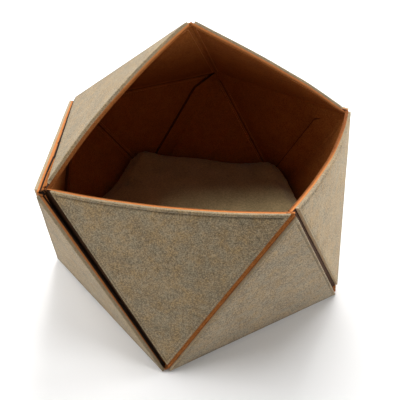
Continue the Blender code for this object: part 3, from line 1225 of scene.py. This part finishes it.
def wallReach(degrees, height, clear):
    # how far the cushion can reach in one direction, at one height
    turn = math.radians(degrees)
    direction = Vector((math.cos(turn), math.sin(turn), 0))
    hosts = {row[1] for row in seamTable.values()}
    total = 0.0
    for panel in panels.values():
        facing = panel.normal.dot(direction)
        if panel.name == "floor" or panel.name.startswith("roof"):
            continue
        if facing <= cushion["leastFacing"]:
            continue
        depth = form["tabDepth"] if panel.name in hosts else form["innerDepth"]
        normal, distance = panel.level(depth + form["innerFelt"] + clear)
        reach = (distance - normal.z * height) / facing
        total += (form["edge"] / reach) ** cushion["sharpness"]
    return form["edge"] / total ** (1 / cushion["sharpness"])


def cushionTop(degrees, share):
    # height of the top in one direction, at a share of the way out: its edge curls up here and there
    turn = math.radians(degrees)
    back = (1 + share * math.sin(turn)) / 2
    height = cushion["front"] + (cushion["back"] - cushion["front"]) * back
    height += cushion["crown"] * (1 - share**2)
    for at, rise, width in cushion["curls"]:
        away = (degrees - at + 180) % 360 - 180
        height += rise * share**4 * math.exp(-((away / width) ** 2))
    return height


def cushionSide(rise, waist):
    # one ring of the side, as a function of the direction
    under = form["tabDepth"]

    def place(degrees):
        height = under + (cushionTop(degrees, 1.0) - under) * rise
        reach = wallReach(degrees, height, cushion["clear"]) - cushion["waist"] * waist
        turn = math.radians(degrees)
        return Vector((reach * math.cos(turn), reach * math.sin(turn), height))

    return place


def setRing(face, place):
    for vert in face.verts:
        vert.co = place(math.degrees(math.atan2(vert.co.y, vert.co.x)))


def plump(made):
    # the filling swells the cloth, no further than a cap and no further than the felt round it
    start = [vert.co.copy() for vert in made.data.vertices]
    cloth = made.modifiers.new("filling", "CLOTH")
    cloth.settings.use_pressure = True
    cloth.settings.uniform_pressure_force = cushion["pressure"]
    cloth.settings.effector_weights.gravity = 0
    cloth.point_cache.frame_end = cushion["frames"]
    for step in range(1, cushion["frames"] + 1):
        scene.frame_set(step)
    data = bakedMesh(made)
    scene.frame_set(1)
    floorHeight = form["innerBottom"] + cushion["rest"]
    for vert, before in zip(data.vertices, start):
        move = vert.co - before
        if move.length > cushion["cap"]:
            move *= cushion["cap"] / move.length
        place = before + move
        place.z = max(place.z, floorHeight)
        degrees = math.degrees(math.atan2(place.y, place.x))
        reach = wallReach(degrees, place.z, cushion["rest"])
        flat = math.hypot(place.x, place.y)
        if flat > reach:
            place.x *= reach / flat
            place.y *= reach / flat
        vert.co = place


def makeCushion():
    # a stack of rings: setRing gives each one its place, so the sizes it starts with don't matter
    mesh = bmesh.new()
    bmesh.ops.create_circle(mesh, cap_ends=True, radius=0.1, segments=cushion["points"])
    cap = mesh.faces[:][0]
    setRing(cap, cushionSide(*cushion["side"][0]))
    for rise, waist in cushion["side"][1:]:
        grown = bmesh.ops.extrude_face_region(mesh, geom=[cap])
        cap = newItems(grown, bmesh.types.BMFace)[0]
        setRing(cap, cushionSide(rise, waist))
    rim = cushionSide(*cushion["side"][-1])
    for share in cushion["top"]:
        bmesh.ops.inset_individual(mesh, faces=[cap], thickness=0.001)

        def place(degrees):
            edge = rim(degrees)
            return Vector((edge.x * share, edge.y * share, cushionTop(degrees, share)))

        setRing(cap, place)
    bmesh.ops.poke(mesh, faces=[cap])
    bottom = [edge for edge in mesh.edges if edge.is_boundary]
    bmesh.ops.holes_fill(mesh, edges=bottom)
    bmesh.ops.recalc_face_normals(mesh, faces=mesh.faces)
    made = storeObject("cushionCloth", mesh, cushionMaterial(), 180)
    voxels = made.modifiers.new("voxels", "REMESH")
    voxels.mode = "VOXEL"
    voxels.voxel_size = cushion["voxel"]
    bakedMesh(made)
    plump(made)
    made.data.shade_smooth()
    soft = made.modifiers.new("soft", "SUBSURF")
    soft.levels = soft.render_levels = 1
    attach(made, "root")
    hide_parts("cushion")
    return made


cushionPiece = makeCushion()
print("cushion filled:", len(cushionPiece.data.vertices), "points")


# camera
camera = {
    "place": (-0.2242, -0.4906, 0.5039),
    "looks": (0.3521, 0.7742, -0.5260),
    "roll": 1.9,  # degrees, clockwise
    "lens": 35.7,
    "sensor": 36,
    "shift": (0.0125, -0.0875),
    "clip": 0.01,
}


def addCamera():
    data = bpy.data.cameras.new("camera")
    data.lens = camera["lens"]
    data.sensor_width = camera["sensor"]
    data.shift_x, data.shift_y = camera["shift"]
    data.clip_start = camera["clip"]
    made = bpy.data.objects.new("camera", data)
    scene.collection.objects.link(made)
    turn = Vector(camera["looks"]).to_track_quat("-Z", "Y").to_matrix()
    turn = turn @ Matrix.Rotation(-math.radians(camera["roll"]), 3, "Z")
    made.matrix_world = Matrix.Translation(camera["place"]) @ turn.to_4x4()
    scene.camera = made


addCamera()


# studio
studio = {
    "floor": (0.93, 0.93, 0.93, 1),
    "floorSize": 6,
    "floorDrop": 0.0005,  # under the felt, so that the two don't meet
    "worldColour": (1, 1, 1, 1),
    "world": 0.12,
    "aim": (0, 0, 0.2),
    "lights": (  # name, degrees round, degrees up, distance, size, watts
        ("right", -22, 4, 1.7, 0.5, 26),
        ("left", 180, 4, 1.7, 0.5, 7.5),
        ("leftHigh", 160, 50, 1.7, 1.0, 9),
        ("top", -55, 86, 1.8, 0.55, 13),
        ("backLeft", 125, 35, 4.5, 2.6, 90),
        ("backRight", 55, 35, 4.5, 2.6, 235),
    ),
}


def addStudio():
    mesh = bmesh.new()
    bmesh.ops.create_grid(mesh, x_segments=1, y_segments=1, size=studio["floorSize"])
    made, wire = startMaterial("studioFloor")
    shader = wire.node(
        "ShaderNodeBsdfPrincipled", {}, {"Base Color": studio["floor"], "Roughness": 0.8}
    )
    floor = storeObject("studioFloor", mesh, finishMaterial(made, shader))
    for vert in floor.data.vertices:
        vert.co.z = -studio["floorDrop"]
    world = bpy.data.worlds.new("studioWorld")
    world.use_nodes = True
    sky = world.node_tree.nodes["Background"].inputs
    sky["Color"].default_value = studio["worldColour"]
    sky["Strength"].default_value = studio["world"]
    scene.world = world
    aim = Vector(studio["aim"])
    for name, turn, rise, distance, size, watts in studio["lights"]:
        turn, rise = math.radians(turn), math.radians(rise)
        flat = math.cos(rise)
        away = Vector((math.cos(turn) * flat, math.sin(turn) * flat, math.sin(rise)))
        data = bpy.data.lights.new(name, "AREA")
        data.size = size
        data.energy = watts
        lamp = bpy.data.objects.new(name, data)
        lamp.location = aim + away * distance
        lamp.rotation_euler = (-away).to_track_quat("-Z", "Y").to_euler()
        lamp.visible_camera = False
        scene.collection.objects.link(lamp)


addStudio()
scene.view_settings.view_transform = "Standard"
print("studio set")
